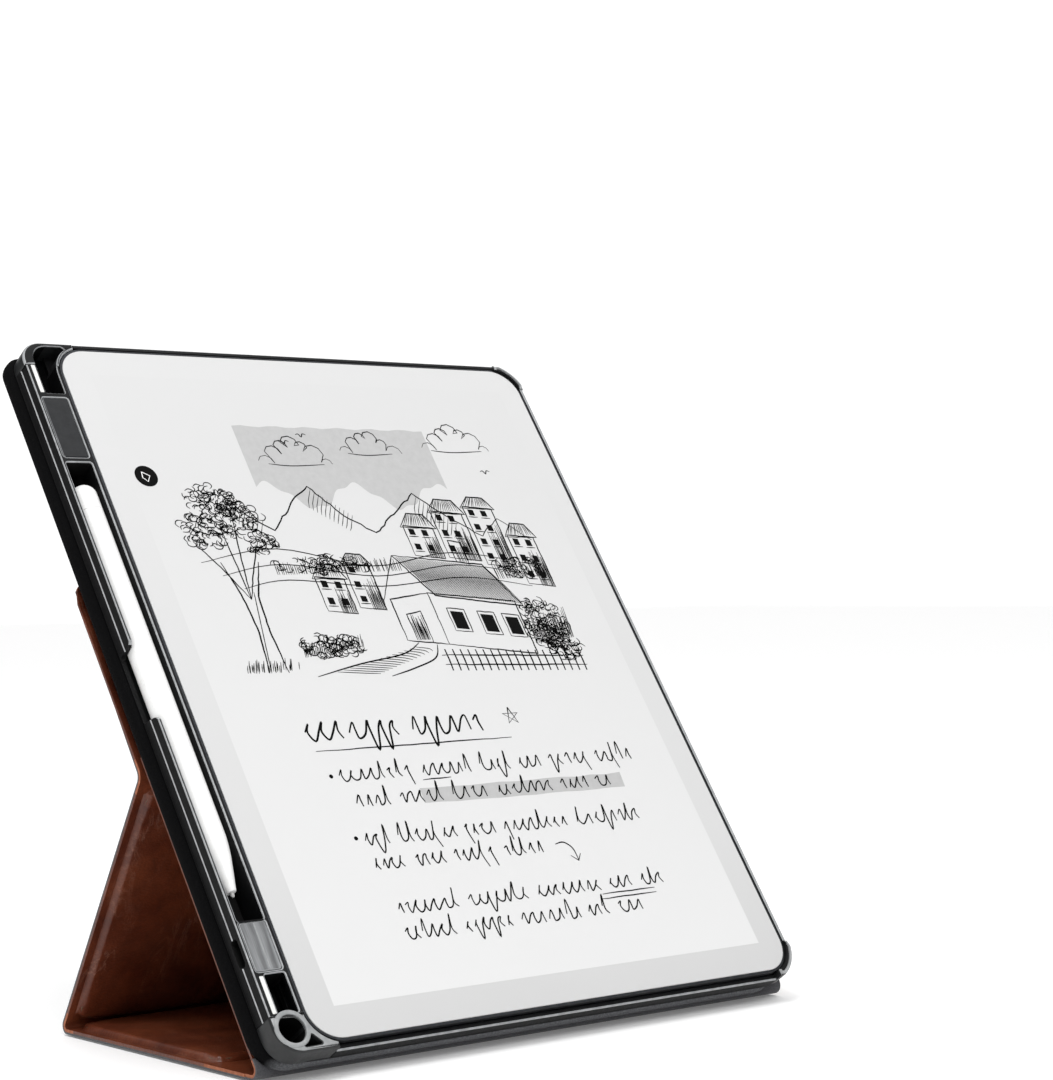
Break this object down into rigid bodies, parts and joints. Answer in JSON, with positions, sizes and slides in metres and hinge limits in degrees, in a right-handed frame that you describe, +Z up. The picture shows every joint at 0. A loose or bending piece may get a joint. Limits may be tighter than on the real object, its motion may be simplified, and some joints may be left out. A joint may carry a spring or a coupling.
{
  "type": "e-reader in a stand cover with pen",
  "caption": "Large e-reader with a pale bezel in a folding leather stand cover, leaning back on the folded panels, with a white pen in the holder beside the screen.",
  "frame": {"origin": "middle of the floor panel's underside, on the centre line of the screen", "axes": "+X to the right seen from the front, +Y to the back, +Z up; the screen faces -Y and up"},
  "size_m": [0.2052, 0.1495, 0.2126],
  "materials": {
    "case_shell": "satin moulded, fine texture",
    "case_corner": "satin soft-touch, light edge",
    "case_bridge": "satin grey",
    "case_plate": "matt mid grey",
    "case_inlay": "pale insert",
    "case_back": "matt padded",
    "case_cloth": "microfibre",
    "leather": "waxed pull-up, chestnut",
    "lining": "microfibre",
    "cover_board": "plain",
    "magnet": "nickel",
    "glass_front": "matt etched, white printed border",
    "display_stack": "matt paper white",
    "circuit_green": "solder mask",
    "reader_metal": "anodised grey",
    "chassis_metal": "cast",
    "battery_wrap": "film wrapped",
    "shield_metal": "tinned",
    "switch_metal": "sprung contact",
    "antenna_foil": "flex circuit",
    "foot_rubber": "matt",
    "pen_white": "satin white",
    "pen_nib": "matt",
    "pen_coil": "wound copper on ferrite"
  },
  "bodies": {
    "case": {"shell_tray": "case_shell", "holder_wall": "case_shell", "holder_rib": "case_shell", "holder_floor": "case_shell", "holder_blocks": "case_shell", "bumper_top_right": "case_corner", "bumper_bottom_right": "case_corner", "corner_top_left": "case_corner", "corner_bottom_left": "case_corner", "port_bridge": "case_bridge", "holder_plate": "case_plate", "holder_inlays": "case_inlay", "tray_lining": "case_cloth", "back_board": "case_back", "back_flap": "leather", "case_magnets": "magnet"},
    "reader": {"front_glass": "glass_front", "front_light": "display_stack", "epaper_panel": "display_stack", "pen_digitizer": "circuit_green", "mid_frame": "chassis_metal", "rear_cover": "reader_metal", "battery_cells": "battery_wrap", "main_board": "circuit_green", "board_shield": "shield_metal", "usb_port": "shield_metal", "button_switch": "switch_metal", "antenna_strip": "antenna_foil", "frame_screws": "shield_metal", "side_magnets": "magnet", "rubber_feet": "foot_rubber"},
    "power_button": {"power_button": "reader_metal"},
    "pen": {"pen_barrel": "pen_white", "pen_cone": "pen_white", "pen_end_cap": "pen_white", "pen_core": "pen_coil", "pen_magnet": "magnet"},
    "nib": {"pen_nib": "pen_nib"},
    "spine_rear": {"spine_rear_leather": "leather", "spine_rear_lining": "lining"},
    "spine_front": {"spine_front_leather": "leather", "spine_front_lining": "lining"},
    "lower_panel": {"lower_leather": "leather", "lower_board": "cover_board", "lower_lining": "lining"},
    "middle_panel": {"middle_leather": "leather", "middle_board": "cover_board", "middle_lining": "lining"},
    "upper_panel": {"upper_leather": "leather", "upper_board": "cover_board", "upper_magnets": "magnet", "upper_lining": "lining"}
  },
  "joints": [
    {"name": "cover_swing", "type": "hinge", "parent": "case", "child": "spine_rear", "pos_m": [0, -0.053, 0.00075], "axis": [-1, 0, 0], "range_deg": [0, 169.5]},
    {"name": "spine_bend", "type": "hinge", "parent": "spine_rear", "child": "spine_front", "pos_m": [0, -0.04324, 0.00075], "axis": [-1, 0, 0], "range_deg": [0, 90]},
    {"name": "spine_front_fold", "type": "hinge", "parent": "spine_front", "child": "lower_panel", "pos_m": [0, -0.03348, 0.00075], "axis": [-1, 0, 0], "range_deg": [0, 45]},
    {"name": "stand_rear_fold", "type": "hinge", "parent": "lower_panel", "child": "middle_panel", "pos_m": [0, 0.053, 0.00075], "axis": [-1, 0, 0], "range_deg": [0, 120.54]},
    {"name": "stand_top_fold", "type": "hinge", "parent": "middle_panel", "child": "upper_panel", "pos_m": [0, 0.00611, 0.08023], "axis": [1, 0, 0], "range_deg": [0, 65.04]},
    {"name": "reader_lift", "type": "slide", "parent": "case", "child": "reader", "axis": [0, 0.8241, -0.5664], "range_m": [-0.03, 0]},
    {"name": "power_button_press", "type": "slide", "parent": "reader", "child": "power_button", "axis": [1, 0, 0], "range_m": [0, 0.0003], "stiffness_N_per_m": 600, "springref_m": -0.001},
    {"name": "pen_lift", "type": "slide", "parent": "case", "child": "pen", "axis": [0, 0.8241, -0.5664], "range_m": [-0.03, 0]},
    {"name": "nib_press", "type": "slide", "parent": "pen", "child": "nib", "axis": [0, 0.5664, 0.8241], "range_m": [0, 0.0003], "stiffness_N_per_m": 600, "springref_m": -0.001}
  ],
  "couplings": [
    {"joint": "stand_top_fold", "follows": "stand_rear_fold", "ratio": 0.53957}
  ]
}
